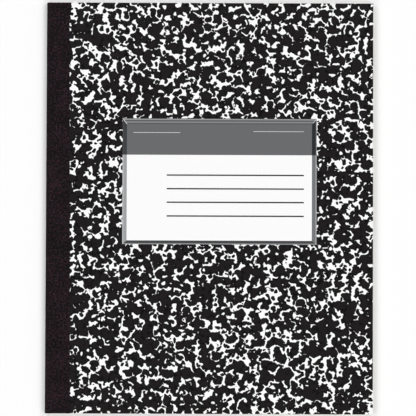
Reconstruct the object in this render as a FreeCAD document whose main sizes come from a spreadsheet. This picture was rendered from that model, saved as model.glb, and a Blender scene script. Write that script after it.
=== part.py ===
"""A thin composition notebook, closed and lying on its back cover.

Eighteen ruled sheets are folded into thirty-six leaves and sewn through the fold. A card cover
lies on each side, and one strip of cloth tape wraps the spine and both covers' inner edges.
The book is trimmed flush at the head, the foot and the fore edge.

Units are millimetres. In the finished frame +X runs from the spine to the fore edge, +Y from the
foot to the head and +Z up through the front cover. The origin is the middle of the footprint.

Each piece is drawn about the hinge line: the middle of the spine's outer face, at half the
book's thickness. Both covers turn about that line, so the tape is split along it.
"""

import FreeCAD, Part
import Sketcher

import math
import os

from FreeCAD import Vector

# Driving sizes: name, value and meaning
SIZES = (
    ("book_width", 202.2, "outside of the spine to the fore edge"),
    ("book_height", 254.0, "foot to head"),
    ("folded_sheets", 18, "ruled sheets, each folded once into two leaves"),
    ("leaf_thickness", 0.08, "one leaf of ruled paper"),
    ("leaf_gap", 0.02, "air between two leaves of the closed book"),
    ("leaf_gap_depth", 0.6, "how far in the leaves part at the trimmed edges"),
    ("card_thickness", 0.4, "one cover"),
    ("tape_thickness", 0.25, "cloth tape with its glue"),
    ("tape_bedding", 0.1, "how far the tape is pressed into a cover"),
    ("tape_reach_head", 14.0, "outside of the spine to the tape's edge, at the head"),
    ("tape_reach_foot", 15.7, "outside of the spine to the tape's edge, at the foot"),
    ("thread_diameter", 0.4, "sewing thread along the fold"),
    ("thread_clearance", 0.05, "room round the thread along the fold"),
    ("strand_in_slit", 0.3, "one strand of the two pulled tight through a needle slit"),
    ("slit_clearance", 0.02, "room round the strands in a needle slit"),
    ("stitch_pitch", 10.0, "one needle slit to the next"),
    ("stitch_margin", 7.0, "least length of fold left unsewn at the head and foot"),
    ("label_width", 120.0, "label, along the head"),
    ("label_height", 77.9, "label, along the spine"),
    ("label_thickness", 0.1, "label paper"),
    ("label_from_head", 71.7, "head of the cover to the label"),
    ("label_from_fore_edge", 34.9, "fore edge of the cover to the label"),
)

# Sizes that follow from the driving ones, as expressions
LEAF_PITCH = "(Sizes.leaf_thickness + Sizes.leaf_gap)"
HALF_BLOCK = f"(floor(Sizes.folded_sheets) * {LEAF_PITCH} - Sizes.leaf_gap / 2)"
COVER_FACE = f"({HALF_BLOCK} + Sizes.card_thickness)"
TAPE_INSIDE = f"({COVER_FACE} - Sizes.tape_bedding)"
HALF_BOOK = f"({TAPE_INSIDE} + Sizes.tape_thickness)"
HALF_HEIGHT = "(Sizes.book_height / 2)"
FOLD_CREST = "(Sizes.tape_thickness + Sizes.thread_diameter + 2 * Sizes.thread_clearance)"
FOLD_CENTRE = f"({FOLD_CREST} + {HALF_BLOCK})"
OUTER_THREAD = "(Sizes.tape_thickness + Sizes.thread_clearance + Sizes.thread_diameter / 2)"
INNER_THREAD = f"({FOLD_CENTRE} + Sizes.thread_diameter / 2)"
STITCHES = "floor((Sizes.book_height - 2 * Sizes.stitch_margin) / Sizes.stitch_pitch)"
SEWN_LENGTH = f"({STITCHES} * Sizes.stitch_pitch)"
# The thread runs a strand's width past the two strands of the last stitch, at both ends
RUN_LENGTH = f"({SEWN_LENGTH} + 4 * Sizes.strand_in_slit)"


def make_sizes(doc):
    """Puts the driving sizes in a spreadsheet, one aliased cell each."""
    sheet = doc.addObject("Spreadsheet::Sheet", "Sizes")
    for row, (alias, value, meaning) in enumerate(SIZES, start=1):
        sheet.set(f"A{row}", alias)
        sheet.set(f"B{row}", str(value))
        sheet.set(f"C{row}", meaning)
        sheet.setAlias(f"B{row}", alias)
    doc.recompute()
    return sheet


def make_body(doc, label):
    body = doc.addObject("PartDesign::Body", label)
    body.Label = label
    return body


def place(piece):
    """Moves a piece from the hinge line's frame to the finished frame."""
    piece.setExpression("Placement.Base.x", "-Sizes.book_width / 2")
    piece.setExpression("Placement.Base.z", HALF_BOOK)


def origin_feature(body, role):
    return next(feature for feature in body.Origin.OriginFeatures if feature.Role == role)


def new_sketch(body, name, plane, offset=None):
    """Adds a sketch on one of the body's own planes, moved along its normal by offset."""
    sketch = body.newObject("Sketcher::SketchObject", name)
    sketch.AttachmentSupport = [(origin_feature(body, plane), "")]
    sketch.MapMode = "FlatFace"
    if offset:
        sketch.setExpression("AttachmentOffset.Base.z", offset)
    return sketch


def hold(sketch, kind, geometry, point, expression):
    """Drives the distance from the sketch's origin to a point along X or Y by an expression."""
    value = float(sketch.evalExpression(expression))
    number = sketch.addConstraint(Sketcher.Constraint(kind, -1, 1, geometry, point, value))
    sketch.setExpression(f"Constraints[{number}]", expression)


def draw_outline(sketch, corners, arc_centres=None):
    """Draws a closed outline, counter-clockwise, through corners given as expressions.

    arc_centres maps a corner's number to (centre x, centre y, turns) where an arc and not a
    line runs from it to the next corner. turns is 1 for a counter-clockwise arc, and -1 for
    a clockwise one.
    """
    arc_centres = arc_centres or {}
    points = [
        Vector(float(sketch.evalExpression(x)), float(sketch.evalExpression(y)), 0)
        for x, y in corners
    ]
    ends = []
    for number, start in enumerate(points):
        finish = points[(number + 1) % len(points)]
        if number not in arc_centres:
            sketch.addGeometry(Part.LineSegment(start, finish))
            ends.append((1, 2))
            continue
        centre_x, centre_y, turns = arc_centres[number]
        centre = Vector(
            float(sketch.evalExpression(centre_x)), float(sketch.evalExpression(centre_y)), 0
        )
        first, last = (start, finish) if turns > 0 else (finish, start)
        angles = [math.atan2(p.y - centre.y, p.x - centre.x) for p in (first, last)]
        if angles[1] < angles[0]:
            angles[1] += 2 * math.pi
        circle = Part.Circle(centre, Vector(0, 0, 1), start.distanceToPoint(centre))
        sketch.addGeometry(Part.ArcOfCircle(circle, *angles))
        ends.append((1, 2) if turns > 0 else (2, 1))
    for number, (x, y) in enumerate(corners):
        follower = (number + 1) % len(corners)
        sketch.addConstraint(
            Sketcher.Constraint("Coincident", number, ends[number][1], follower, ends[follower][0])
        )
        hold(sketch, "DistanceX", number, ends[number][0], x)
        hold(sketch, "DistanceY", number, ends[number][0], y)
    for number, (centre_x, _, _) in arc_centres.items():
        hold(sketch, "DistanceX", number, 3, centre_x)


def draw_circle(sketch, x, y, diameter):
    """Draws a circle from the expressions of its centre and diameter."""
    centre = Vector(float(sketch.evalExpression(x)), float(sketch.evalExpression(y)), 0)
    radius = float(sketch.evalExpression(diameter)) / 2
    sketch.addGeometry(Part.Circle(centre, Vector(0, 0, 1), radius))
    hold(sketch, "DistanceX", 0, 3, x)
    hold(sketch, "DistanceY", 0, 3, y)
    number = sketch.addConstraint(Sketcher.Constraint("Diameter", 0, 2 * radius))
    sketch.setExpression(f"Constraints[{number}]", diameter)


def draw_first_stitch(sketch, clearance):
    """Draws the section of two strands side by side along the fold, at the stitch by the foot."""
    centre = f"-{SEWN_LENGTH} / 2"
    half_length = f"(Sizes.strand_in_slit + {clearance})"
    half_width = f"(Sizes.strand_in_slit / 2 + {clearance})"
    draw_outline(
        sketch,
        (
            (f"{centre} - {half_length}", f"-{half_width}"),
            (f"{centre} + {half_length}", f"-{half_width}"),
            (f"{centre} + {half_length}", half_width),
            (f"{centre} - {half_length}", half_width),
        ),
    )


def pad(body, name, sketch, length, both_sides=False):
    feature = body.newObject("PartDesign::Pad", name)
    feature.Profile = sketch
    feature.SideType = "Symmetric" if both_sides else "One side"
    feature.setExpression("Length", length)
    return feature


def pocket(body, name, sketch, length, both_sides=False, along_normal=False):
    feature = body.newObject("PartDesign::Pocket", name)
    feature.Profile = sketch
    feature.SideType = "Symmetric" if both_sides else "One side"
    feature.Reversed = along_normal
    feature.setExpression("Length", length)
    return feature


def repeat_along_spine(body, name, feature):
    """Repeats the first stitch's feature along the whole seam."""
    pattern = body.newObject("PartDesign::LinearPattern", name)
    pattern.Originals = [feature]
    pattern.Direction = (origin_feature(body, "Y_Axis"), [""])
    pattern.setExpression("Length", SEWN_LENGTH)
    pattern.setExpression("Occurrences", f"{STITCHES} + 1")
    body.Tip = pattern
    return pattern


def make_folded_block(doc):
    """The thirty-six leaves pressed together, round at the fold, with the slits of the sewing."""
    body = make_body(doc, "folded_block")
    profile = new_sketch(body, "block_profile", "XZ_Plane")
    draw_outline(
        profile,
        (
            (FOLD_CENTRE, f"-{HALF_BLOCK}"),
            ("Sizes.book_width", f"-{HALF_BLOCK}"),
            ("Sizes.book_width", HALF_BLOCK),
            (FOLD_CENTRE, HALF_BLOCK),
        ),
        {3: (FOLD_CENTRE, "0", 1)},
    )
    pad(body, "block_pad", profile, "Sizes.book_height", both_sides=True)
    doc.recompute()

    thread_room = "Sizes.thread_diameter + 2 * Sizes.thread_clearance"
    channel = new_sketch(body, "inner_thread_circle", "XZ_Plane")
    draw_circle(channel, INNER_THREAD, "0", thread_room)
    channel_length = f"{RUN_LENGTH} + 2 * Sizes.thread_clearance"
    pocket(body, "inner_thread_channel", channel, channel_length, both_sides=True)
    doc.recompute()

    slit_outline = new_sketch(body, "slit_outline", "YZ_Plane")
    draw_first_stitch(slit_outline, "Sizes.slit_clearance")
    slit = pocket(body, "needle_slit", slit_outline, INNER_THREAD, along_normal=True)
    doc.recompute()
    repeat_along_spine(body, "needle_slits", slit)
    return body


def fold_face(fold_centre, radius, fore_edge):
    """The section of everything inside one folded sheet's bend, as a face across the spine."""
    top = Vector(fold_centre, 0, radius)
    crest = Vector(fold_centre - radius, 0, 0)
    bottom = Vector(fold_centre, 0, -radius)
    edges = [
        Part.LineSegment(Vector(fore_edge, 0, radius), top).toShape(),
        Part.Arc(top, crest, bottom).toShape(),
        Part.LineSegment(bottom, Vector(fore_edge, 0, -radius)).toShape(),
        Part.LineSegment(Vector(fore_edge, 0, -radius), Vector(fore_edge, 0, radius)).toShape(),
    ]
    return Part.Face(Part.Wire(edges))


def leaf_gap_shape(sheet):
    """The thin gaps between the folded sheets, open only near the three trimmed edges."""
    pitch = float(sheet.evalExpression(LEAF_PITCH))
    block_height = 2 * float(sheet.evalExpression(HALF_BLOCK))
    fold_centre = float(sheet.evalExpression(FOLD_CENTRE))
    beyond = sheet.book_width + sheet.leaf_gap_depth
    half_gap = sheet.leaf_gap / 2
    length = sheet.book_height + 2 * sheet.leaf_gap_depth
    faces = []
    for folded_sheet in range(1, int(sheet.folded_sheets)):
        outside = fold_face(fold_centre, folded_sheet * pitch + half_gap, beyond)
        inside = fold_face(fold_centre, folded_sheet * pitch - half_gap, beyond)
        faces.append(outside.cut(inside).Faces[0])
    faces.append(fold_face(fold_centre, half_gap, beyond))
    core = Part.makeBox(
        sheet.book_width - sheet.leaf_gap_depth,
        sheet.book_height - 2 * sheet.leaf_gap_depth,
        block_height,
        Vector(0, sheet.leaf_gap_depth - sheet.book_height / 2, -block_height / 2),
    )
    gaps = []
    for face in faces:
        face.translate(Vector(0, -length / 2, 0))
        gaps += face.extrude(Vector(0, length, 0)).cut(core).Solids
    return Part.makeCompound(gaps)


def make_page_block(doc, sheet):
    """The sewn block with its leaves parted at the trimmed edges, as one solid."""
    gaps = doc.addObject("Part::Feature", "leaf_gaps")
    gaps.Shape = leaf_gap_shape(sheet)
    block = doc.addObject("Part::Cut", "page_block")
    block.Base = make_folded_block(doc)
    block.Tool = gaps
    block.Refine = False
    place(block)
    return block


def make_binding_thread(doc):
    """The lockstitch: one thread outside the fold and one inside, locked through each slit."""
    body = make_body(doc, "binding_thread")
    outer_circle = new_sketch(body, "outer_thread_circle", "XZ_Plane")
    draw_circle(outer_circle, OUTER_THREAD, "0", "Sizes.thread_diameter")
    pad(body, "outer_thread", outer_circle, RUN_LENGTH, both_sides=True)
    doc.recompute()
    lock_outline = new_sketch(body, "lock_outline", "YZ_Plane", offset=OUTER_THREAD)
    draw_first_stitch(lock_outline, "0")
    lock = pad(body, "lock", lock_outline, f"{INNER_THREAD} - {OUTER_THREAD}")
    doc.recompute()
    repeat_along_spine(body, "locks", lock)
    doc.recompute()
    inner_circle = new_sketch(body, "inner_thread_circle", "XZ_Plane")
    draw_circle(inner_circle, INNER_THREAD, "0", "Sizes.thread_diameter")
    body.Tip = pad(body, "inner_thread", inner_circle, RUN_LENGTH, both_sides=True)
    place(body)
    return body


def draw_tape_edge(sketch, inner_edge):
    """The outline of what lies under a cover's tape, whose free edge runs slightly askew."""
    draw_outline(
        sketch,
        (
            (inner_edge, f"-{HALF_HEIGHT}"),
            ("Sizes.tape_reach_foot", f"-{HALF_HEIGHT}"),
            ("Sizes.tape_reach_head", HALF_HEIGHT),
            (inner_edge, HALF_HEIGHT),
        ),
    )


def make_front_cover(doc):
    """A flat card from the start of the spine's bend to the fore edge, dented under the tape."""
    body = make_body(doc, "front_cover")
    outline = new_sketch(body, "card_outline", "XY_Plane", offset=HALF_BLOCK)
    draw_outline(
        outline,
        (
            (HALF_BOOK, f"-{HALF_HEIGHT}"),
            ("Sizes.book_width", f"-{HALF_HEIGHT}"),
            ("Sizes.book_width", HALF_HEIGHT),
            (HALF_BOOK, HALF_HEIGHT),
        ),
    )
    pad(body, "card_pad", outline, "Sizes.card_thickness")
    doc.recompute()
    bedding = new_sketch(body, "bedding_outline", "XY_Plane", offset=COVER_FACE)
    draw_tape_edge(bedding, HALF_BOOK)
    pocket(body, "tape_bed", bedding, "Sizes.tape_bedding")
    place(body)
    return body


def make_front_tape(doc):
    """Half of the cloth tape: a quarter bend from the hinge line, and the flap on the cover."""
    body = make_body(doc, "spine_tape_front")
    bend = new_sketch(body, "bend_profile", "XZ_Plane")
    draw_outline(
        bend,
        (
            ("0", "0"),
            ("Sizes.tape_thickness", "0"),
            (HALF_BOOK, TAPE_INSIDE),
            (HALF_BOOK, HALF_BOOK),
        ),
        {1: (HALF_BOOK, "0", -1), 3: (HALF_BOOK, "0", 1)},
    )
    pad(body, "tape_bend", bend, "Sizes.book_height", both_sides=True)
    doc.recompute()
    flap = new_sketch(body, "flap_outline", "XY_Plane", offset=TAPE_INSIDE)
    draw_tape_edge(flap, HALF_BOOK)
    pad(body, "tape_flap", flap, "Sizes.tape_thickness")
    place(body)
    return body


def make_label(doc):
    """The name label, a rectangle of paper on the front cover."""
    body = make_body(doc, "cover_label")
    outline = new_sketch(body, "label_outline", "XY_Plane", offset=COVER_FACE)
    right = "(Sizes.book_width - Sizes.label_from_fore_edge)"
    left = f"({right} - Sizes.label_width)"
    top = f"({HALF_HEIGHT} - Sizes.label_from_head)"
    bottom = f"({top} - Sizes.label_height)"
    draw_outline(outline, ((left, bottom), (right, bottom), (right, top), (left, top)))
    pad(body, "label_pad", outline, "Sizes.label_thickness")
    place(body)
    return body


def make_mirror_image(doc, piece, label):
    """The same piece on the back of the book, mirrored in the plane of the middle leaves."""
    mirror = doc.addObject("Part::Mirroring", label)
    mirror.Label = label
    mirror.Source = piece
    mirror.Normal = Vector(0, 0, 1)
    mirror.setExpression("Base.z", HALF_BOOK)
    return mirror


def check(doc, pieces):
    """Stops the build if anything failed to recompute, or a piece is not one sound solid."""
    for thing in doc.Objects:
        if "Invalid" in thing.State or "Error" in thing.State:
            raise RuntimeError(f"{thing.Label} did not recompute: {thing.State}")
    for piece in pieces:
        shape = piece.Shape
        if shape.isNull() or not shape.isValid() or shape.Volume <= 0:
            raise RuntimeError(f"{piece.Label} has no sound shape")
        if len(shape.Solids) != 1:
            raise RuntimeError(f"{piece.Label} has {len(shape.Solids)} solids")


def main():
    doc = FreeCAD.newDocument("composition_notebook")
    sheet = make_sizes(doc)
    front_cover = make_front_cover(doc)
    front_tape = make_front_tape(doc)
    pieces = (
        make_page_block(doc, sheet),
        make_binding_thread(doc),
        front_cover,
        make_mirror_image(doc, front_cover, "back_cover"),
        front_tape,
        make_mirror_image(doc, front_tape, "spine_tape_back"),
        make_label(doc),
    )
    doc.recompute()
    check(doc, pieces)
    os.makedirs("parts", exist_ok=True)
    for piece in pieces:
        piece.Shape.exportStep(f"parts/{piece.Label}.step")
    return doc


if __name__ == "__main__":
    main()
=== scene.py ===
import math

import bpy
from bpy.props import FloatProperty, FloatVectorProperty, IntProperty, PointerProperty
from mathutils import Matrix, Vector


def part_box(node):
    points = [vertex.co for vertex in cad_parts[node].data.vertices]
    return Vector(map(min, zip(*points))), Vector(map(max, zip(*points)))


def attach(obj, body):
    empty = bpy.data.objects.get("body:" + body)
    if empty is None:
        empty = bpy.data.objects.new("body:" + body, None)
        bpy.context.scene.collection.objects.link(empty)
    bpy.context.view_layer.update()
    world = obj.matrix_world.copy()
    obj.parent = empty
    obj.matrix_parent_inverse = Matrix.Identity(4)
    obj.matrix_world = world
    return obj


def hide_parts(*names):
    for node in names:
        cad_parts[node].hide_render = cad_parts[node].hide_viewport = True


bl_info = {
    "name": "Sewn notebook with marbled covers",
    "version": (1, 0, 0),
    "blender": (4, 5, 0),
    "location": "3D View > Sidebar > Notebook",
    "description": "Dresses the packed notebook: marbled covers, cloth tape, label, leaves and thread",
    "category": "Object",
}

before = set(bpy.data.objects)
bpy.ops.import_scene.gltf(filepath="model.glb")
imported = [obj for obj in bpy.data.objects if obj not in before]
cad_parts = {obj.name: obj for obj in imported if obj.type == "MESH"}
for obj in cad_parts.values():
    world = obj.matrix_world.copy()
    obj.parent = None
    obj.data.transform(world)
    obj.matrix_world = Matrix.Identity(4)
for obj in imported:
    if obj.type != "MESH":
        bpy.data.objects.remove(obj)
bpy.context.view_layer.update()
MM = 0.001


# Places taken from the solids


def span(node, axis):
    """Lowest and highest place of a CAD node along one axis, in metres."""
    low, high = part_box(node)
    return low[axis], high[axis]


FORE_EDGE = span("page_block", 0)[1]
FOLD_CREST = span("page_block", 0)[0]
HEAD_EDGE = span("page_block", 1)[1]
BLOCK_LOW, BLOCK_HIGH = span("page_block", 2)
BLOCK_MIDDLE = (BLOCK_LOW + BLOCK_HIGH) / 2
BLOCK_HALF = (BLOCK_HIGH - BLOCK_LOW) / 2
SPINE_FACE = span("spine_tape_front", 0)[0]
THREAD_OUTSIDE, THREAD_INSIDE = span("binding_thread", 0)
THREAD_THICKNESS = span("binding_thread", 2)[1] - span("binding_thread", 2)[0]
FRONT_FACE = span("front_cover", 2)[1]
BACK_FACE = span("back_cover", 2)[0]


# Colours as they are seen, turned into the linear ones that Blender mixes


def linear(value):
    """One channel from 0 to 255 as a linear number."""
    share = value / 255
    if share <= 0.04045:
        return share / 12.92
    return ((share + 0.055) / 1.055) ** 2.4


def seen(red, green, blue):
    """A colour as the eye reads it, from 0 to 255, as a linear triple."""
    return (linear(red), linear(green), linear(blue))


def dimmed(colour, factor):
    """A colour at so much of its strength."""
    return tuple(factor * channel for channel in colour)


def colour_prop(name, description, value):
    return FloatVectorProperty(
        name=name, description=description, subtype="COLOR", size=3, min=0.0, max=1.0, default=value
    )


def length_prop(name, description, value):
    return FloatProperty(
        name=name, description=description, unit="LENGTH", min=0.0, precision=5, default=value
    )


def factor_prop(name, description, least, greatest):
    return FloatProperty(name=name, description=description, min=least, max=greatest, default=1.0)


# Sizes and colours that a user would change


class CardSettings(bpy.types.PropertyGroup):
    ink: colour_prop("Ink", "Black ink of the marbled print", seen(25, 22, 23))
    ground: colour_prop("Ground", "White paper between the ink blots", seen(252, 252, 252))
    inside: colour_prop("Inside", "Bare board inside the covers", seen(226, 222, 212))
    core: colour_prop("Core", "Board seen at its cut edges", seen(196, 190, 178))
    print_scale: factor_prop("Print scale", "Size of the marbling against the real print", 0.2, 5.0)
    waver: factor_prop("Waver", "How far the rims of the blots wander, against the real print", 0.0, 4.0)


class LabelSettings(bpy.types.PropertyGroup):
    panel: colour_prop("Panel", "White field for the owner's name", seen(252, 252, 252))
    header: colour_prop("Header", "Grey band along the top of the label", seen(104, 105, 107))
    line_ink: colour_prop("Line ink", "Grey of the four writing lines", seen(34, 34, 37))
    rule: colour_prop("Header rule", "Pale short rules in the header", seen(240, 240, 240))
    line_thickness: length_prop("Line thickness", "Thickness of a writing line", 0.86 * MM)
    rule_thickness: length_prop("Rule thickness", "Thickness of a header rule", 0.24 * MM)


class TapeSettings(bpy.types.PropertyGroup):
    cloth: colour_prop("Cloth", "Purplish black of the spine cloth", seen(23, 12, 17))
    thread_pitch: length_prop("Weave pitch", "Distance between the threads of the cloth", 0.42 * MM)
    dust: factor_prop("Dust", "How uneven the dye looks, against the real cloth", 0.0, 3.0)


class LeafSettings(bpy.types.PropertyGroup):
    paper: colour_prop("Paper", "Colour of the writing paper", seen(242, 240, 233))
    feint: colour_prop("Feint lines", "Blue of the ruled lines", seen(150, 176, 206))
    margin: colour_prop("Margin line", "Red of the margin line", seen(212, 122, 132))
    line_pitch: length_prop("Line pitch", "Distance between ruled lines", 8.73 * MM)
    head_margin: length_prop("Head margin", "From the head to the first line", 25.0 * MM)
    side_margin: length_prop("Side margin", "From the spine to the margin line", 31.75 * MM)
    sheets: IntProperty(name="Sheets", description="Folded sheets, two leaves each", min=1, default=18)
    thickness: length_prop("Leaf thickness", "Thickness of one leaf", 0.08 * MM)
    pitch: length_prop("Leaf pitch", "One leaf and the air beside it", 0.1 * MM)
    trim: length_prop("Trim", "How far a leaf may fall short of the knife cut", 0.12 * MM)
    wave: length_prop("Wave", "How far the middle leaves wander up and down", 0.16 * MM)


class ThreadSettings(bpy.types.PropertyGroup):
    cotton: colour_prop("Cotton", "Colour of the sewing thread", seen(232, 228, 216))
    stitches: IntProperty(name="Stitches", description="Stitches along the spine", min=2, default=24)
    stitch_pitch: length_prop("Stitch pitch", "Length of one stitch", 10.0 * MM)
    lay: length_prop("Lay", "Length in which the two plies turn once", 1.7 * MM)


class StageSettings(bpy.types.PropertyGroup):
    view_width: length_prop("View width", "What the picture takes in across the cover", 257.0 * MM)
    lamp_power: FloatProperty(
        name="Lamp power", description="Power of each of the four lamps", unit="POWER", default=4.7
    )
    sky: FloatProperty(name="Sky", description="Strength of the light from all round", min=0.0, default=0.3)


SETTINGS = (
    ("notebook_card", CardSettings),
    ("notebook_label", LabelSettings),
    ("notebook_tape", TapeSettings),
    ("notebook_leaf", LeafSettings),
    ("notebook_thread", ThreadSettings),
    ("notebook_stage", StageSettings),
)


# Node building


def step(tree, kind, *values, **options):
    """Adds a node, sets its options, feeds its inputs in order, and returns its first output."""
    node = tree.nodes.new(kind)
    for option, choice in options.items():
        setattr(node, option, choice)
    for socket, value in zip(node.inputs, values):
        feed(tree, socket, value)
    return node.outputs[0]


def feed(tree, socket, value):
    """Links a socket to another, or sets its value."""
    if isinstance(value, bpy.types.NodeSocket):
        tree.links.new(value, socket)
    else:
        socket.default_value = value


def calc(tree, operation, *values):
    return step(tree, "ShaderNodeMath", *values, operation=operation)


def move(tree, operation, *values):
    return step(tree, "ShaderNodeVectorMath", *values, operation=operation)


def scaled(tree, vector, factor):
    node = tree.nodes.new("ShaderNodeVectorMath")
    node.operation = "SCALE"
    feed(tree, node.inputs["Vector"], vector)
    feed(tree, node.inputs["Scale"], factor)
    return node.outputs["Vector"]


def within(tree, value, low, high):
    """One where value lies between low and high."""
    return calc(tree, "COMPARE", value, (low + high) / 2, (high - low) / 2)


def ramp(tree, value, low, high, first=0.0, last=1.0):
    node = tree.nodes.new("ShaderNodeMapRange")
    feed(tree, node.inputs["Value"], value)
    feed(tree, node.inputs["From Min"], low)
    feed(tree, node.inputs["From Max"], high)
    feed(tree, node.inputs["To Min"], first)
    feed(tree, node.inputs["To Max"], last)
    return node.outputs["Result"]


def layer(tree, under, over, share):
    """Colour over laid on colour under where share is one."""
    node = tree.nodes.new("ShaderNodeMix")
    node.data_type = "RGBA"
    feed(tree, node.inputs["Factor"], share)
    for socket, colour in ((node.inputs[6], under), (node.inputs[7], over)):
        feed(tree, socket, colour if isinstance(colour, bpy.types.NodeSocket) else (*colour, 1.0))
    return node.outputs[2]


def grain(tree, place, scale, detail=2.0, flat=False):
    """A noise node with so many grains a unit of place."""
    node = tree.nodes.new("ShaderNodeTexNoise")
    if flat:
        node.noise_dimensions = "2D"
    feed(tree, node.inputs["Vector"], place)
    node.inputs["Scale"].default_value = scale
    node.inputs["Detail"].default_value = detail
    return node


def object_place(tree):
    """The point on the piece in millimetres."""
    source = tree.nodes.new("ShaderNodeTexCoord")
    return scaled(tree, source.outputs["Object"], 1000.0)


def axes(tree, place):
    """The x, y and z of a place."""
    node = tree.nodes.new("ShaderNodeSeparateXYZ")
    feed(tree, node.inputs[0], place)
    return node.outputs


def shade(tree, colour, roughness, specular, height, relief, bump_share):
    """Ends a material in one principled shader, with a bump of so many metres."""
    shader = tree.nodes.new("ShaderNodeBsdfPrincipled")
    feed(tree, shader.inputs["Base Color"], colour)
    feed(tree, shader.inputs["Roughness"], roughness)
    shader.inputs["Specular IOR Level"].default_value = specular
    bump = tree.nodes.new("ShaderNodeBump")
    bump.inputs["Strength"].default_value = bump_share
    bump.inputs["Distance"].default_value = relief
    feed(tree, bump.inputs["Height"], height)
    feed(tree, shader.inputs["Normal"], bump.outputs["Normal"])
    output = tree.nodes.new("ShaderNodeOutputMaterial")
    feed(tree, output.inputs["Surface"], shader.outputs[0])


def blank_material(name):
    material = bpy.data.materials.new(name)
    material.use_nodes = True
    material.node_tree.nodes.clear()
    return material, material.node_tree


def dress(node_name, material):
    """Gives a CAD node its finish, in the slot that it has."""
    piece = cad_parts[node_name]
    if not piece.data.materials:
        piece.data.materials.append(material)
    for slot in piece.material_slots:
        slot.material = material


# The marbled print

# Ink blots in three sizes. Each has its spacing in millimetres, its least and greatest radius as
# shares of the spacing, and how far neighbours run together
INK_BLOTS = (
    (5.164, 0.005, 0.64, 0.412),
    (6.346, 0.36, 0.247, 0.0),
    (2.743, 0.277, 0.481, 0.155),
)
# Specks of paper in the ink and of ink on the paper: spacing, least and greatest radius in millimetres
PAPER_SPECKS = (6.448, -1.217, 1.178)
INK_SPECKS = (5.934, 0.207, 0.568)
# Each set of blots and specks comes from its own part of the plane
BLOT_SHIFT = 61.0
PAPER_SHIFT = 211.0
INK_SHIFT = 307.0
SHIFT_SLOPE = -1.7
# Where two sizes of blot meet, the ink bridges gaps of this many millimetres
INK_BRIDGE = 1.35
# How far the rims draw back, in millimetres: below zero the ink covers more
INK_SPREAD = -0.041
# Wander of the rims: grain and reach in millimetres
WANDER = ((4.328, 2.139), (1.773, 0.592))
# Half the width over which a rim blurs, in millimetres
PRINT_SOFTNESS = 0.04
# The ink lies thicker along its rims: where the dark band starts to fade and where it ends, and its tone
RIM_WIDTH = (0.35, 0.85)
RIM_TONE = 0.05
# How deep the faces' colours reach into the card, in millimetres
CARD_SKIN = 0.015
# Which part of the printed sheet each cover is cut from
FRONT_PRINT = (17.0, 5.0, 0.0)
BACK_PRINT = (431.0, 263.0, 0.0)


def blot_group():
    """A node group that gives the distance from a point to the rim of the nearest blot."""
    tree = bpy.data.node_groups.new("blot field", "ShaderNodeTree")
    tree.interface.new_socket(name="Place", in_out="INPUT", socket_type="NodeSocketVector")
    for name in ("Spacing", "Least radius", "Greatest radius", "Run together"):
        tree.interface.new_socket(name=name, in_out="INPUT", socket_type="NodeSocketFloat")
    tree.interface.new_socket(name="Distance", in_out="OUTPUT", socket_type="NodeSocketFloat")
    given = tree.nodes.new("NodeGroupInput").outputs
    result = tree.nodes.new("NodeGroupOutput")
    cell = tree.nodes.new("ShaderNodeTexVoronoi")
    cell.voronoi_dimensions = "2D"
    cell.feature = "SMOOTH_F1"
    cell.inputs["Scale"].default_value = 1.0
    feed(tree, cell.inputs["Smoothness"], given["Run together"])
    cells = scaled(tree, given["Place"], calc(tree, "DIVIDE", 1.0, given["Spacing"]))
    feed(tree, cell.inputs["Vector"], cells)
    chance = axes(tree, cell.outputs["Color"])[0]
    spread = calc(tree, "SUBTRACT", given["Greatest radius"], given["Least radius"])
    radius = calc(tree, "MULTIPLY_ADD", spread, chance, given["Least radius"])
    away = calc(tree, "MULTIPLY", cell.outputs["Distance"], given["Spacing"])
    feed(tree, result.inputs[0], calc(tree, "SUBTRACT", away, radius))
    return tree


def blots(tree, group, place, shift, spacing, least, greatest, together=0.0):
    node = tree.nodes.new("ShaderNodeGroup")
    node.node_tree = group
    feed(tree, node.inputs["Place"], move(tree, "ADD", place, (shift, SHIFT_SLOPE * shift, 0.0)))
    node.inputs["Spacing"].default_value = spacing
    node.inputs["Least radius"].default_value = least
    node.inputs["Greatest radius"].default_value = greatest
    node.inputs["Run together"].default_value = together
    return node.outputs[0]


def ink_rim(tree, group, place, settings):
    """Distance in millimetres to the rim of the ink: below zero in the ink, above zero on bare paper."""
    place = scaled(tree, place, 1 / settings.print_scale)
    straight = place
    for cell, reach in WANDER:
        wander = grain(tree, straight, 1 / cell, 0.0, flat=True).outputs["Color"]
        wander = scaled(tree, move(tree, "SUBTRACT", wander, (0.5, 0.5, 0.5)), reach * settings.waver)
        place = move(tree, "ADD", place, wander)
    ink = None
    for number, (spacing, least, greatest, together) in enumerate(INK_BLOTS):
        sizes = (spacing, least * spacing, greatest * spacing)
        field = blots(tree, group, place, BLOT_SHIFT * number, *sizes, together)
        ink = field if ink is None else calc(tree, "SMOOTH_MIN", ink, field, INK_BRIDGE)
    ink = calc(tree, "ADD", ink, INK_SPREAD)
    paper = blots(tree, group, place, PAPER_SHIFT, *PAPER_SPECKS)
    ink = calc(tree, "MAXIMUM", ink, calc(tree, "MULTIPLY", paper, -1.0))
    return calc(tree, "MINIMUM", ink, blots(tree, group, place, INK_SHIFT, *INK_SPECKS))


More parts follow.
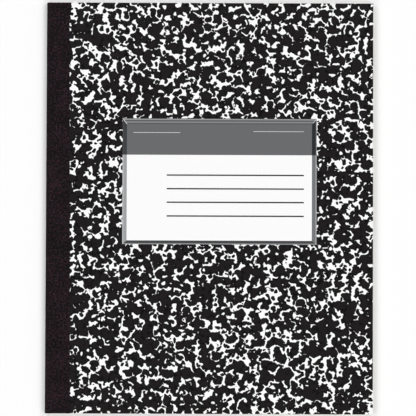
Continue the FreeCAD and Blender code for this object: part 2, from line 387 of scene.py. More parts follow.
def card_material(name, settings, group, outer_face, inner_face, shift):
    """Card printed on its outer face, bare inside, and fibrous at its cut edges."""
    material, tree = blank_material(name)
    place = object_place(tree)
    height = axes(tree, place)[2]
    mapping = tree.nodes.new("ShaderNodeMapping")
    feed(tree, mapping.inputs["Vector"], place)
    mapping.inputs["Location"].default_value = shift
    rim = ink_rim(tree, group, mapping.outputs[0], settings)
    bare = ramp(tree, rim, -PRINT_SOFTNESS, PRINT_SOFTNESS)
    fibre = grain(tree, place, 3.0, 4.0).outputs[0]
    felt = ramp(tree, grain(tree, place, 0.35, 3.0).outputs[0], 0.3, 0.7)
    ink = layer(tree, dimmed(settings.ink, 0.9), dimmed(settings.ink, 1.15), felt)
    past_rim = ramp(tree, rim, -RIM_WIDTH[0], -RIM_WIDTH[1])
    ink = layer(tree, dimmed(settings.ink, RIM_TONE), ink, past_rim)
    ground = layer(tree, dimmed(settings.ground, 0.97), settings.ground, ramp(tree, fibre, 0.3, 0.6))
    printed = layer(tree, ink, ground, bare)
    board = layer(tree, dimmed(settings.inside, 0.9), settings.inside, ramp(tree, fibre, 0.3, 0.65))
    plies = (calc(tree, "MULTIPLY", height, 9.0), calc(tree, "MULTIPLY", height, 3.0))
    streaks = move(tree, "ADD", place, step(tree, "ShaderNodeCombineXYZ", *plies))
    streak = ramp(tree, grain(tree, streaks, 1.3, 3.0).outputs[0], 0.3, 0.7)
    core = layer(tree, dimmed(settings.core, 0.78), settings.core, streak)
    outside = within(tree, height, outer_face / MM - CARD_SKIN, outer_face / MM + CARD_SKIN)
    inside = within(tree, height, inner_face / MM - CARD_SKIN, inner_face / MM + CARD_SKIN)
    colour = layer(tree, layer(tree, core, board, inside), printed, outside)
    gloss = ramp(tree, bare, 0.0, 1.0, 0.4, 0.5)
    unprinted = calc(tree, "SUBTRACT", 1.0, outside)
    roughness = calc(tree, "ADD", calc(tree, "MULTIPLY", unprinted, 0.4), gloss)
    shade(tree, colour, roughness, 0.12, fibre, 0.00002, 0.35)
    return material


# The label

# Places in millimetres: the writing lines' y and ends, and the header rules' ends and y
LABEL_LINES = (20.19, 11.76, 3.4, -5.1)
LINE_ENDS = (-26.4, 58.35)
HEADER_RULES = ((-47.1, -18.2, 46.5), (27.0, 58.3, 47.3))
HEADER_FOOT = 32.7
# Width of the border's sides, and their greys from the outer edge at 0 to the inner edge at 1
BEVEL = {"left": 2.7, "right": 2.9, "foot": 2.35, "head": 3.55}
SIDE_TONES = {
    "left": {"panel": ((0.0, 186), (0.28, 162)), "header": ((0.0, 70), (0.2, 60))},
    "right": {"panel": ((0.0, 168), (0.22, 118)), "header": ((0.0, 140), (0.15, 38))},
}
END_TONES = {
    "foot": ((0.0, 150), (0.27, 68)),
    "head": ((0.0, 60), (0.08, 158), (0.27, 92), (0.54, 138), (0.78, 90)),
}
# Bright lines over the mitres at the head: side, how far down the bevel, half width and grey
MITRES = (("left", 1.0, 0.1, 215), ("right", 0.75, 0.08, 205))
# How deep the print reaches into the label's paper, in millimetres, and the grey of its cut edge
LABEL_SKIN = 0.02
LABEL_EDGE = 215


def bar(tree, x, y, left, right, low, high):
    """One inside a rectangle, in millimetres."""
    return calc(tree, "MULTIPLY", within(tree, x, left, right), within(tree, y, low, high))


def grey(value):
    """A grey of the border, a little blue as the print is."""
    return seen(value - 1, value, value + 2)


def tone_steps(tree, share, stops):
    """Colours along a bevel, from its outer edge at 0 to its inner edge at 1."""
    node = tree.nodes.new("ShaderNodeValToRGB")
    feed(tree, node.inputs[0], share)
    node.color_ramp.interpolation = "CONSTANT"
    elements = node.color_ramp.elements
    elements[0].position = stops[0][0]
    elements[0].color = (*grey(stops[0][1]), 1.0)
    elements[1].position = stops[1][0]
    elements[1].color = (*grey(stops[1][1]), 1.0)
    for position, tone in stops[2:]:
        element = elements.new(position)
        element.color = (*grey(tone), 1.0)
    return node.outputs[0]


def smaller(tree, first, second):
    return calc(tree, "LESS_THAN", first, second)


def on_side(tree, depth, other):
    """One on a side of the border, as far as the mitre that it shares with the other."""
    return calc(tree, "MULTIPLY", smaller(tree, depth, 1.0), smaller(tree, depth, other))


def label_material(settings):
    """White panel with a grey header, four writing lines and a bevelled border drawn in greys."""
    material, tree = blank_material("printed label")
    place = object_place(tree)
    x, y, height = axes(tree, place)
    low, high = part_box("cover_label")
    inward = {
        "left": calc(tree, "SUBTRACT", x, low[0] / MM),
        "right": calc(tree, "SUBTRACT", high[0] / MM, x),
        "foot": calc(tree, "SUBTRACT", y, low[1] / MM),
        "head": calc(tree, "SUBTRACT", high[1] / MM, y),
    }
    depth = {side: calc(tree, "DIVIDE", inward[side], width) for side, width in BEVEL.items()}
    beside_header = calc(tree, "GREATER_THAN", y, HEADER_FOOT)
    colour = layer(tree, settings.panel, settings.header, beside_header)
    half = settings.line_thickness / MM / 2
    for line in LABEL_LINES:
        stroke = bar(tree, x, y, *LINE_ENDS, line - half, line + half)
        colour = layer(tree, colour, settings.line_ink, stroke)
    half = settings.rule_thickness / MM / 2
    for start, end, line in HEADER_RULES:
        stroke = bar(tree, x, y, start, end, line - half, line + half)
        colour = layer(tree, colour, settings.rule, stroke)
    for side, tones in SIDE_TONES.items():
        beside_panel = tone_steps(tree, depth[side], tones["panel"])
        tone = layer(tree, beside_panel, tone_steps(tree, depth[side], tones["header"]), beside_header)
        colour = layer(tree, colour, tone, on_side(tree, depth[side], depth["foot"]))
    beyond_ends = calc(tree, "MINIMUM", depth["left"], depth["right"])
    for side, stops in END_TONES.items():
        tone = tone_steps(tree, depth[side], stops)
        colour = layer(tree, colour, tone, on_side(tree, depth[side], beyond_ends))
    for side, reach, half, tone in MITRES:
        mitre = calc(tree, "COMPARE", depth[side], depth["head"], half)
        near_head = smaller(tree, depth["head"], reach)
        colour = layer(tree, colour, grey(tone), calc(tree, "MULTIPLY", mitre, near_head))
    top = calc(tree, "GREATER_THAN", height, high[2] / MM - LABEL_SKIN)
    colour = layer(tree, grey(LABEL_EDGE), colour, top)
    fibre = grain(tree, place, 4.0, 4.0).outputs[0]
    shade(tree, colour, ramp(tree, fibre, 0.3, 0.7, 0.42, 0.52), 0.2, fibre, 0.000015, 0.3)
    return material


# The cloth tape

# How strongly dust and patches change the cloth's tone, how strongly the weave paints shade into the gaps
# between threads and light onto their crowns, the weave's mean and the least tone
DUST_CONTRAST = 8.4
PATCH_CONTRAST = 2.9
WEAVE_SHADE_CONTRAST = 0.55
WEAVE_MEAN = 0.42
LEAST_TONE = 0.04


def tape_material(settings):
    """Plain-woven book cloth: threads over and under each other, a little dust in the colour, painted shade
    in the gaps between threads and painted light on their crowns.
    """
    material, tree = blank_material("woven book cloth")
    place = object_place(tree)
    x, y, height = axes(tree, place)
    middle = span("spine_tape_back", 2)[1] / MM
    pitch = settings.thread_pitch / MM
    round_spine = calc(tree, "ADD", x, calc(tree, "ABSOLUTE", calc(tree, "SUBTRACT", height, middle)))
    along = step(tree, "ShaderNodeCombineXYZ", round_spine, y)
    loose = grain(tree, along, 0.5, 2.0, flat=True).outputs["Color"]
    loose = scaled(tree, move(tree, "SUBTRACT", loose, (0.5, 0.5, 0.5)), 0.5)
    u, v, _ = axes(tree, scaled(tree, move(tree, "ADD", along, loose), 1 / pitch))
    over_u = calc(tree, "SINE", calc(tree, "MULTIPLY", calc(tree, "FRACT", u), math.pi))
    over_v = calc(tree, "SINE", calc(tree, "MULTIPLY", calc(tree, "FRACT", v), math.pi))
    count = calc(tree, "ADD", calc(tree, "FLOOR", u), calc(tree, "FLOOR", v))
    turn = calc(tree, "PINGPONG", count, 1.0)
    warp = calc(tree, "MULTIPLY", over_u, calc(tree, "MULTIPLY_ADD", over_v, 0.5, 0.5))
    weft = calc(tree, "MULTIPLY", over_v, calc(tree, "MULTIPLY_ADD", over_u, 0.5, 0.5))
    difference = calc(tree, "SUBTRACT", weft, warp)
    weave = calc(tree, "MULTIPLY_ADD", difference, turn, warp)
    dust = grain(tree, along, 0.85, 1.0, flat=True).outputs[0]
    patch = grain(tree, along, 0.1, 2.0, flat=True).outputs[0]
    # Dust and patches vary the tone at random; the weave term is painted shade between the threads and
    # painted light on their crowns
    light = 1.0
    for field, mean, contrast in (
        (dust, 0.5, settings.dust * DUST_CONTRAST),
        (patch, 0.5, settings.dust * PATCH_CONTRAST),
        (weave, WEAVE_MEAN, WEAVE_SHADE_CONTRAST),
    ):
        light = calc(tree, "MULTIPLY_ADD", calc(tree, "SUBTRACT", field, mean), contrast, light)
    light = calc(tree, "MAXIMUM", light, LEAST_TONE)
    dye = grain(tree, move(tree, "ADD", along, (37.0, 11.0, 0.0)), 0.42, 0.0, flat=True).outputs[0]
    red, green, blue = settings.cloth
    warm = (1.16 * red, 0.96 * green, 0.9 * blue)
    cool = (0.84 * red, 1.04 * green, 1.1 * blue)
    colour = scaled(tree, layer(tree, warm, cool, ramp(tree, dye, 0.32, 0.68)), light)
    shade(tree, colour, 0.62, 0.12, weave, 0.00009, 0.7)
    return material


# The leaves

# Half a ruled line's thickness and the bare foot of the page, in millimetres
RULE_HALF = 0.17
FOOT_MARGIN = 9.0
# Random draws: how far a sheet falls short at the fore edge, and at the head and foot
WIDTH_SEED = 7
HEIGHT_SEED = 11
# How much closer together the page's vertices lie towards the fold
FOLD_CROWDING = 1.8
# Waves of the leaves: grains a metre
WAVE_GRAIN = 17.0
SHARP_ANGLE = math.radians(40)


def leaf_material(settings):
    """Writing paper, ruled on its faces and plain at its cut edges."""
    material, tree = blank_material("ruled paper")
    place = object_place(tree)
    x, y, _ = axes(tree, place)
    source = tree.nodes.new("ShaderNodeTexCoord")
    upright = calc(tree, "ABSOLUTE", axes(tree, source.outputs["Normal"])[2])
    flat = calc(tree, "GREATER_THAN", upright, 0.7)
    first = (HEAD_EDGE - settings.head_margin) / MM
    pitch = settings.line_pitch / MM
    down = calc(tree, "DIVIDE", calc(tree, "SUBTRACT", first, y), pitch)
    off_line = calc(tree, "ABSOLUTE", calc(tree, "SUBTRACT", down, calc(tree, "ROUND", down)))
    on_line = smaller(tree, off_line, RULE_HALF / pitch)
    started = calc(tree, "GREATER_THAN", down, -0.5)
    stopped = calc(tree, "GREATER_THAN", y, -HEAD_EDGE / MM + FOOT_MARGIN)
    for limit in (started, stopped, flat):
        on_line = calc(tree, "MULTIPLY", on_line, limit)
    margin = (SPINE_FACE + settings.side_margin) / MM
    on_margin = calc(tree, "MULTIPLY", within(tree, x, margin - RULE_HALF, margin + RULE_HALF), flat)
    fibre = grain(tree, place, 5.0, 4.0).outputs[0]
    cloud = grain(tree, place, 0.25, 3.0).outputs[0]
    tone = tree.nodes.new("ShaderNodeAttribute")
    tone.attribute_name = "sheet_tone"
    worn = calc(tree, "ADD", calc(tree, "MULTIPLY", fibre, 0.5), calc(tree, "MULTIPLY", cloud, 0.5))
    worn = calc(tree, "ADD", worn, calc(tree, "MULTIPLY", tone.outputs["Fac"], 0.6))
    colour = layer(tree, dimmed(settings.paper, 0.9), settings.paper, ramp(tree, worn, 0.3, 0.9))
    colour = layer(tree, colour, settings.feint, on_line)
    colour = layer(tree, colour, settings.margin, on_margin)
    shade(tree, colour, 0.85, 0.2, fibre, 0.00001, 0.3)
    return material


def group_inputs(tree, counts, sizes, material):
    """Names the inputs of a node tree and returns them by name."""
    wanted = [(name, "NodeSocketInt") for name in counts]
    wanted += [(name, "NodeSocketFloat") for name in sizes]
    wanted += [(material, "NodeSocketMaterial")]
    for name, kind in wanted:
        tree.interface.new_socket(name=name, in_out="INPUT", socket_type=kind)
    return tree.nodes.new("NodeGroupInput").outputs


def grown_mesh(name, tree, values):
    """Runs a node tree on an empty object and returns the result as a plain mesh object."""
    piece = bpy.data.objects.new(name, bpy.data.meshes.new(name))
    bpy.context.scene.collection.objects.link(piece)
    modifier = piece.modifiers.new(tree.name, "NODES")
    modifier.node_group = tree
    for item in tree.interface.items_tree:
        if item.in_out == "INPUT":
            modifier[item.identifier] = values[item.name]
    bpy.context.view_layer.update()
    depsgraph = bpy.context.evaluated_depsgraph_get()
    mesh = bpy.data.meshes.new_from_object(piece.evaluated_get(depsgraph))
    piece.modifiers.clear()
    piece.data = mesh
    if not mesh.polygons:
        raise RuntimeError(f"{name} came out empty")
    mesh.shade_smooth()
    mesh.set_sharp_from_angle(angle=SHARP_ANGLE)
    return piece


def random_share(tree, number, seed):
    """A random number from 0 to 1 for each whole number."""
    node = tree.nodes.new("FunctionNodeRandomValue")
    node.data_type = "FLOAT"
    feed(tree, node.inputs[2], 0.0)
    feed(tree, node.inputs[3], 1.0)
    feed(tree, node.inputs["ID"], number)
    feed(tree, node.inputs["Seed"], seed)
    return node.outputs[1]


def folded_sheets_tree():
    """Sheets nested in one fold: a thin box for each, bent round the fold by its number."""
    tree = bpy.data.node_groups.new("folded sheets", "GeometryNodeTree")
    tree.interface.new_socket(name="Geometry", in_out="OUTPUT", socket_type="NodeSocketGeometry")
    counts = ("Sheets", "Page spans", "Fold spans", "Height spans", "Seed")
    sizes = ("Thickness", "Pitch", "Fold x", "Fold z", "Half block", "Page width", "Height", "Trim", "Wave")
    given = group_inputs(tree, counts, sizes, "Paper")
    pages = given["Page spans"]
    folds = given["Fold spans"]
    across = calc(tree, "ADD", calc(tree, "MULTIPLY_ADD", pages, 2.0, folds), 1.0)
    blank = tree.nodes.new("GeometryNodeMeshCube")
    feed(tree, blank.inputs["Vertices X"], across)
    feed(tree, blank.inputs["Vertices Y"], calc(tree, "ADD", given["Height spans"], 1.0))
    places = tree.nodes.new("GeometryNodeMeshLine")
    feed(tree, places.inputs["Count"], given["Sheets"])
    places.inputs["Offset"].default_value = (0.0, 0.0, 0.0)
    stack = tree.nodes.new("GeometryNodeInstanceOnPoints")
    feed(tree, stack.inputs["Points"], places.outputs["Mesh"])
    feed(tree, stack.inputs["Instance"], blank.outputs["Mesh"])
    index = tree.nodes.new("GeometryNodeInputIndex").outputs[0]
    numbered = tree.nodes.new("GeometryNodeStoreNamedAttribute")
    numbered.domain = "INSTANCE"
    numbered.data_type = "FLOAT"
    numbered.inputs["Name"].default_value = "sheet"
    feed(tree, numbered.inputs["Geometry"], stack.outputs["Instances"])
    feed(tree, numbered.inputs["Value"], index)
    toned = tree.nodes.new("GeometryNodeStoreNamedAttribute")
    toned.domain = "INSTANCE"
    toned.data_type = "FLOAT"
    toned.inputs["Name"].default_value = "sheet_tone"
    feed(tree, toned.inputs["Geometry"], numbered.outputs["Geometry"])
    feed(tree, toned.inputs["Value"], random_share(tree, index, given["Seed"]))
    whole = tree.nodes.new("GeometryNodeRealizeInstances")
    feed(tree, whole.inputs["Geometry"], toned.outputs["Geometry"])

    sheet = tree.nodes.new("GeometryNodeInputNamedAttribute")
    sheet.data_type = "FLOAT"
    sheet.inputs["Name"].default_value = "sheet"
    sheet = sheet.outputs["Attribute"]
    a, b, c = axes(tree, tree.nodes.new("GeometryNodeInputPosition").outputs[0])
    spans = calc(tree, "MULTIPLY_ADD", pages, 2.0, folds)
    walked = calc(tree, "MULTIPLY", calc(tree, "ADD", a, 0.5), spans)
    lower = step(tree, "ShaderNodeClamp", calc(tree, "SUBTRACT", 1.0, calc(tree, "DIVIDE", walked, pages)))
    past_fold = calc(tree, "SUBTRACT", walked, calc(tree, "ADD", pages, folds))
    upper = step(tree, "ShaderNodeClamp", calc(tree, "DIVIDE", past_fold, pages))
    bent = step(tree, "ShaderNodeClamp", calc(tree, "DIVIDE", calc(tree, "SUBTRACT", walked, pages), folds))
    turn = calc(tree, "MULTIPLY_ADD", bent, -math.pi, 1.5 * math.pi)
    middle = calc(tree, "MULTIPLY", calc(tree, "ADD", sheet, 0.5), given["Pitch"])
    radius = calc(tree, "MULTIPLY_ADD", c, given["Thickness"], middle)
    reach = calc(tree, "POWER", calc(tree, "ADD", lower, upper), FOLD_CROWDING)
    short = random_share(tree, sheet, WIDTH_SEED)
    width = calc(tree, "SUBTRACT", given["Page width"], calc(tree, "MULTIPLY", given["Trim"], short))
    out = calc(tree, "MULTIPLY", reach, width)
    round_fold = calc(tree, "MULTIPLY_ADD", calc(tree, "COSINE", turn), radius, given["Fold x"])
    x = calc(tree, "ADD", round_fold, out)
    rise = calc(tree, "MULTIPLY", calc(tree, "SINE", turn), radius)
    slack = calc(tree, "MULTIPLY", given["Trim"], random_share(tree, sheet, HEIGHT_SEED))
    y = calc(tree, "MULTIPLY", b, calc(tree, "SUBTRACT", given["Height"], slack))
    field = grain(tree, step(tree, "ShaderNodeCombineXYZ", x, y), WAVE_GRAIN, 2.0)
    swell = calc(tree, "MULTIPLY", calc(tree, "SUBTRACT", field.outputs[0], 0.5), 2.0)
    level = calc(tree, "DIVIDE", calc(tree, "ABSOLUTE", rise), given["Half block"])
    swell = calc(tree, "MULTIPLY", swell, calc(tree, "SUBTRACT", 1.0, level))
    swell = calc(tree, "MULTIPLY", swell, calc(tree, "MULTIPLY", given["Wave"], reach))
    z = calc(tree, "ADD", calc(tree, "ADD", rise, swell), given["Fold z"])
    folded = tree.nodes.new("GeometryNodeSetPosition")
    feed(tree, folded.inputs["Geometry"], whole.outputs[0])
    feed(tree, folded.inputs["Position"], step(tree, "ShaderNodeCombineXYZ", x, y, z))
    painted = tree.nodes.new("GeometryNodeSetMaterial")
    feed(tree, painted.inputs["Geometry"], folded.outputs[0])
    feed(tree, painted.inputs["Material"], given["Paper"])
    feed(tree, tree.nodes.new("NodeGroupOutput").inputs[0], painted.outputs[0])
    return tree


# The sewing

# Depth of the groove between two plies, as a share of the thread's radius, and the length of a dip
PLY_GROOVE = 0.2
DIP_LENGTH = 0.4 * MM


def thread_material(settings):
    material, tree = blank_material("twisted cotton")
    place = object_place(tree)
    fibre = grain(tree, place, 9.0, 3.0).outputs[0]
    colour = layer(tree, dimmed(settings.cotton, 0.72), settings.cotton, ramp(tree, fibre, 0.3, 0.65))
    shade(tree, colour, 0.8, 0.2, fibre, 0.00002, 0.5)
    return material


def strand(tree, given, line_x, dip):
    """One strand along the spine that dips into the fold at every needle hole."""
    half = calc(tree, "MULTIPLY", calc(tree, "MULTIPLY", given["Stitches"], given["Stitch pitch"]), 0.5)
    line = tree.nodes.new("GeometryNodeCurvePrimitiveLine")
    for socket, end in (("Start", calc(tree, "MULTIPLY", half, -1.0)), ("End", half)):
        feed(tree, line.inputs[socket], step(tree, "ShaderNodeCombineXYZ", line_x, end, given["Middle z"]))
    points = tree.nodes.new("GeometryNodeResampleCurve")
    feed(tree, points.inputs["Curve"], line.outputs[0])
    count = calc(tree, "MULTIPLY_ADD", given["Stitches"], given["Points a stitch"], 1.0)
    feed(tree, points.inputs["Count"], count)
    x, y, z = axes(tree, tree.nodes.new("GeometryNodeInputPosition").outputs[0])
    phase = calc(tree, "DIVIDE", calc(tree, "ADD", y, half), given["Stitch pitch"])
    off_hole = calc(tree, "ABSOLUTE", calc(tree, "SUBTRACT", phase, calc(tree, "ROUND", phase)))
    near = calc(tree, "DIVIDE", calc(tree, "MULTIPLY", off_hole, given["Stitch pitch"]), given["Dip length"])
    near = calc(tree, "EXPONENT", calc(tree, "MULTIPLY", calc(tree, "MULTIPLY", near, near), -1.0))
    sunk = calc(tree, "MULTIPLY_ADD", near, dip, x)
    path = tree.nodes.new("GeometryNodeSetPosition")
    feed(tree, path.inputs["Geometry"], points.outputs[0])
    feed(tree, path.inputs["Position"], step(tree, "ShaderNodeCombineXYZ", sunk, y, z))
    tilt = tree.nodes.new("GeometryNodeSetCurveTilt")
    feed(tree, tilt.inputs["Curve"], path.outputs[0])
    turns = calc(tree, "DIVIDE", calc(tree, "MULTIPLY", y, 2 * math.pi), given["Lay"])
    feed(tree, tilt.inputs["Tilt"], turns)
    ring = tree.nodes.new("GeometryNodeCurvePrimitiveCircle")
    ring.mode = "RADIUS"
    ring.inputs["Resolution"].default_value = 10
    feed(tree, ring.inputs["Radius"], given["Thread radius"])
    spot = tree.nodes.new("GeometryNodeInputPosition").outputs[0]
    ring_x, ring_y, _ = axes(tree, spot)
    angle = calc(tree, "ARCTAN2", ring_y, ring_x)
    lobe = calc(tree, "COSINE", calc(tree, "MULTIPLY", angle, 2.0))
    lobe = calc(tree, "MULTIPLY_ADD", lobe, PLY_GROOVE, 1 - PLY_GROOVE)
    plies = tree.nodes.new("GeometryNodeSetPosition")
    feed(tree, plies.inputs["Geometry"], ring.outputs[0])
    feed(tree, plies.inputs["Position"], scaled(tree, spot, lobe))
    body = tree.nodes.new("GeometryNodeCurveToMesh")
    feed(tree, body.inputs["Curve"], tilt.outputs[0])
    feed(tree, body.inputs["Profile Curve"], plies.outputs[0])
    body.inputs["Fill Caps"].default_value = True
    return body.outputs[0]


def sewing_tree():
    """Two strands of a lockstitch: one outside the fold and one inside, meeting in each hole."""
    tree = bpy.data.node_groups.new("sewn spine", "GeometryNodeTree")
    tree.interface.new_socket(name="Geometry", in_out="OUTPUT", socket_type="NodeSocketGeometry")
    counts = ("Stitches", "Points a stitch")
    sizes = ("Stitch pitch", "Thread radius", "Outside x", "Inside x", "Middle z", "Dip length", "Lay")
    given = group_inputs(tree, counts, sizes, "Cotton")
    gap = calc(tree, "SUBTRACT", given["Inside x"], given["Outside x"])
    dip = calc(tree, "SUBTRACT", calc(tree, "MULTIPLY", gap, 0.5), given["Thread radius"])
    outer = strand(tree, given, given["Outside x"], dip)
    inner = strand(tree, given, given["Inside x"], calc(tree, "MULTIPLY", dip, -1.0))
    both = tree.nodes.new("GeometryNodeJoinGeometry")
    tree.links.new(inner, both.inputs[0])
    tree.links.new(outer, both.inputs[0])
    whole = tree.nodes.new("GeometryNodeRealizeInstances")
    feed(tree, whole.inputs[0], both.outputs[0])
    painted = tree.nodes.new("GeometryNodeSetMaterial")
    feed(tree, painted.inputs["Geometry"], whole.outputs[0])
    feed(tree, painted.inputs["Material"], given["Cotton"])
    feed(tree, tree.nodes.new("NodeGroupOutput").inputs[0], painted.outputs[0])
    return tree


# Operators, one for each piece


class DressCovers(bpy.types.Operator):
    """Prints the marbling on the two card covers"""

    bl_idname = "notebook.dress_covers"
    bl_label = "Covers"

    def execute(self, context):
        settings = context.scene.notebook_card
        group = blot_group()
        inside = span("front_cover", 2)[0]
        front = card_material("marbled card front", settings, group, FRONT_FACE, inside, FRONT_PRINT)
        dress("front_cover", front)
        inside = span("back_cover", 2)[1]
        back = card_material("marbled card back", settings, group, BACK_FACE, inside, BACK_PRINT)
        dress("back_cover", back)
        return {"FINISHED"}


class DressLabel(bpy.types.Operator):
    """Prints the bare label"""

    bl_idname = "notebook.dress_label"
    bl_label = "Label"

    def execute(self, context):
        dress("cover_label", label_material(context.scene.notebook_label))
        return {"FINISHED"}


class DressTape(bpy.types.Operator):
    """Gives the two halves of the spine tape their cloth"""

    bl_idname = "notebook.dress_tape"
    bl_label = "Spine tape"

    def execute(self, context):
        cloth = tape_material(context.scene.notebook_tape)
        dress("spine_tape_front", cloth)
        dress("spine_tape_back", cloth)
        return {"FINISHED"}


class FoldLeaves(bpy.types.Operator):
    """Makes the folded sheets, nested in one fold"""

    bl_idname = "notebook.fold_leaves"
    bl_label = "Leaves"

    def execute(self, context):
        settings = context.scene.notebook_leaf
        fold = FOLD_CREST + BLOCK_HALF
        values = {
            "Sheets": settings.sheets,
            "Page spans": 14,
            "Fold spans": 14,
            "Height spans": 30,
            "Seed": 3,
            "Thickness": settings.thickness,
            "Pitch": settings.pitch,
            "Fold x": fold,
            "Fold z": BLOCK_MIDDLE,
            "Half block": BLOCK_HALF,
            "Page width": FORE_EDGE - fold,
            "Height": 2 * HEAD_EDGE,
            "Trim": settings.trim,
            "Wave": settings.wave,
            "Paper": leaf_material(settings),
        }
        leaves = grown_mesh("page_leaves", folded_sheets_tree(), values)
        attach(leaves, "book_block")
        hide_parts("page_block")
        return {"FINISHED"}


class SewSpine(bpy.types.Operator):
    """Sews the sheets through their fold"""

    bl_idname = "notebook.sew_spine"
    bl_label = "Sewing"

    def execute(self, context):
        settings = context.scene.notebook_thread
        radius = THREAD_THICKNESS / 2
        values = {
            "Stitches": settings.stitches,
            "Points a stitch": 64,
            "Stitch pitch": settings.stitch_pitch,
            "Thread radius": radius,
            "Outside x": THREAD_OUTSIDE + radius,
            "Inside x": THREAD_INSIDE - radius,
            "Middle z": BLOCK_MIDDLE,
            "Dip length": DIP_LENGTH,
            "Lay": settings.lay,
            "Cotton": thread_material(settings),
        }
        sewing = grown_mesh("sewn_thread", sewing_tree(), values)
        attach(sewing, "book_block")
        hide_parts("binding_thread")
        return {"FINISHED"}


# Stage: copy-stand light, white table, camera above

# The camera looks down at this place on the cover, a little tilted and rolled as in the photo
PICTURE_MIDDLE = (-0.85 * MM, -0.1 * MM)
CAMERA_TILT = math.radians(2.0)
CAMERA_ROLL = math.radians(0.21)
LENS = 200.0
SENSOR = 36.0
LAMP_DISTANCE = 1.35
LAMP_SIZE = 0.75
LAMP_HEIGHT = math.radians(47)
TABLE_HALF = 6.0
TABLE_TONE = (0.7, 0.7, 0.7)
# Where the table starts to fade into the white room and where it ends, in millimetres
TABLE_FADE = (260.0, 520.0)


def table_material():
    """White table that fades into the backdrop and keeps the object's shadow."""
    material, tree = blank_material("white table")
    x, y, _ = axes(tree, object_place(tree))
    away = calc(tree, "SQRT", calc(tree, "ADD", calc(tree, "MULTIPLY", x, x), calc(tree, "MULTIPLY", y, y)))
    far = ramp(tree, away, *TABLE_FADE)
    seen_by_camera = tree.nodes.new("ShaderNodeLightPath").outputs["Is Camera Ray"]
    colour = layer(tree, TABLE_TONE, (1.0, 1.0, 1.0), seen_by_camera)
    cloth = step(tree, "ShaderNodeBsdfDiffuse", colour)
    glow = step(tree, "ShaderNodeEmission", (1.0, 1.0, 1.0, 1.0), 1.0)
    share = calc(tree, "MULTIPLY", far, seen_by_camera)
    mixed = step(tree, "ShaderNodeMixShader", share, cloth, glow)
    output = tree.nodes.new("ShaderNodeOutputMaterial")
    feed(tree, output.inputs["Surface"], mixed)
    return material


def light_world(context, strength):
    world = bpy.data.worlds.new("soft room")
    context.scene.world = world
    world.use_nodes = True
    tree = world.node_tree
    tree.nodes.clear()
    seen_by_camera = tree.nodes.new("ShaderNodeLightPath").outputs["Is Camera Ray"]
    room = step(tree, "ShaderNodeBackground", (1.0, 1.0, 1.0, 1.0), strength)
    white = step(tree, "ShaderNodeBackground", (1.0, 1.0, 1.0, 1.0), 1.0)
    mixed = step(tree, "ShaderNodeMixShader", seen_by_camera, room, white)
    output = tree.nodes.new("ShaderNodeOutputWorld")
    feed(tree, output.inputs["Surface"], mixed)


def hang_lamp(context, name, azimuth, power):
    """A wide soft lamp, half way up the sky, that faces the object."""
    data = bpy.data.lights.new(name, "AREA")
    data.shape = "SQUARE"
    data.size = LAMP_SIZE
    data.energy = power
    lamp = bpy.data.objects.new(name, data)
    context.scene.collection.objects.link(lamp)
    reach = LAMP_DISTANCE * math.cos(LAMP_HEIGHT)
    lamp.location = (
        reach * math.cos(azimuth),
        reach * math.sin(azimuth),
        LAMP_DISTANCE * math.sin(LAMP_HEIGHT),
    )
    lamp.rotation_mode = "QUATERNION"
    lamp.rotation_quaternion = (-lamp.location).to_track_quat("-Z", "Y")
    lamp.visible_camera = False


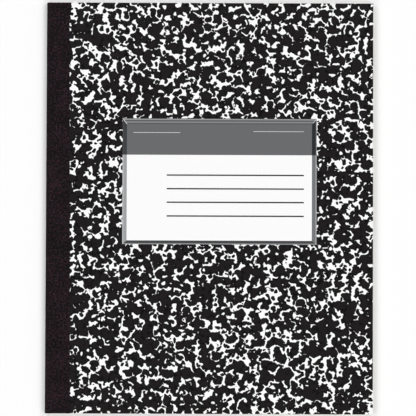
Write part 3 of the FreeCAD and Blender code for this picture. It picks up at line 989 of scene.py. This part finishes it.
class SetStage(bpy.types.Operator):
    """Sets the white table, the lamps and the camera above the cover"""

    bl_idname = "notebook.set_stage"
    bl_label = "Stage"

    def execute(self, context):
        settings = context.scene.notebook_stage
        mesh = bpy.data.meshes.new("table_top")
        corners = [(-TABLE_HALF, -TABLE_HALF, 0), (TABLE_HALF, -TABLE_HALF, 0)]
        corners += [(TABLE_HALF, TABLE_HALF, 0), (-TABLE_HALF, TABLE_HALF, 0)]
        mesh.from_pydata(corners, [], [(0, 1, 2, 3)])
        mesh.materials.append(table_material())
        table = bpy.data.objects.new("table_top", mesh)
        context.scene.collection.objects.link(table)
        light_world(context, settings.sky)
        for number in range(4):
            azimuth = math.radians(45 + 90 * number)
            hang_lamp(context, f"lamp_{number + 1}", azimuth, settings.lamp_power)
        data = bpy.data.cameras.new("copy_camera")
        data.sensor_width = SENSOR
        data.lens = LENS
        data.clip_start = 0.05
        data.clip_end = 50.0
        camera = bpy.data.objects.new("copy_camera", data)
        context.scene.collection.objects.link(camera)
        distance = settings.view_width * LENS / SENSOR
        camera.rotation_euler = (CAMERA_TILT, 0.0, CAMERA_ROLL)
        back = camera.rotation_euler.to_matrix() @ Vector((0.0, 0.0, distance))
        camera.location = Vector((*PICTURE_MIDDLE, FRONT_FACE)) + back
        context.scene.camera = camera
        context.scene.view_settings.view_transform = "Standard"
        return {"FINISHED"}


SECTIONS = (
    ("Covers", "notebook_card", "notebook.dress_covers"),
    ("Label", "notebook_label", "notebook.dress_label"),
    ("Spine tape", "notebook_tape", "notebook.dress_tape"),
    ("Leaves", "notebook_leaf", "notebook.fold_leaves"),
    ("Sewing", "notebook_thread", "notebook.sew_spine"),
    ("Stage", "notebook_stage", "notebook.set_stage"),
)


class NotebookPanel(bpy.types.Panel):
    """Lists the pieces of the notebook with their sizes and colours"""

    bl_idname = "VIEW3D_PT_notebook"
    bl_label = "Notebook"
    bl_space_type = "VIEW_3D"
    bl_region_type = "UI"
    bl_category = "Notebook"

    def draw(self, context):
        for title, key, operator in SECTIONS:
            box = self.layout.box()
            box.label(text=title)
            group = getattr(context.scene, key)
            for name in group.__annotations__:
                box.prop(group, name)
            box.operator(operator)


OPERATORS = (DressCovers, DressLabel, DressTape, FoldLeaves, SewSpine, SetStage)


def register():
    for key, group in SETTINGS:
        bpy.utils.register_class(group)
        setattr(bpy.types.Scene, key, PointerProperty(type=group))
    for operator in OPERATORS:
        bpy.utils.register_class(operator)
    bpy.utils.register_class(NotebookPanel)


def unregister():
    bpy.utils.unregister_class(NotebookPanel)
    for operator in reversed(OPERATORS):
        bpy.utils.unregister_class(operator)
    for key, group in reversed(SETTINGS):
        delattr(bpy.types.Scene, key)
        bpy.utils.unregister_class(group)


def main():
    register()
    bpy.ops.notebook.set_stage()
    bpy.ops.notebook.dress_covers()
    bpy.ops.notebook.dress_label()
    bpy.ops.notebook.dress_tape()
    bpy.ops.notebook.fold_leaves()
    bpy.ops.notebook.sew_spine()


if __name__ == "__main__":
    main()
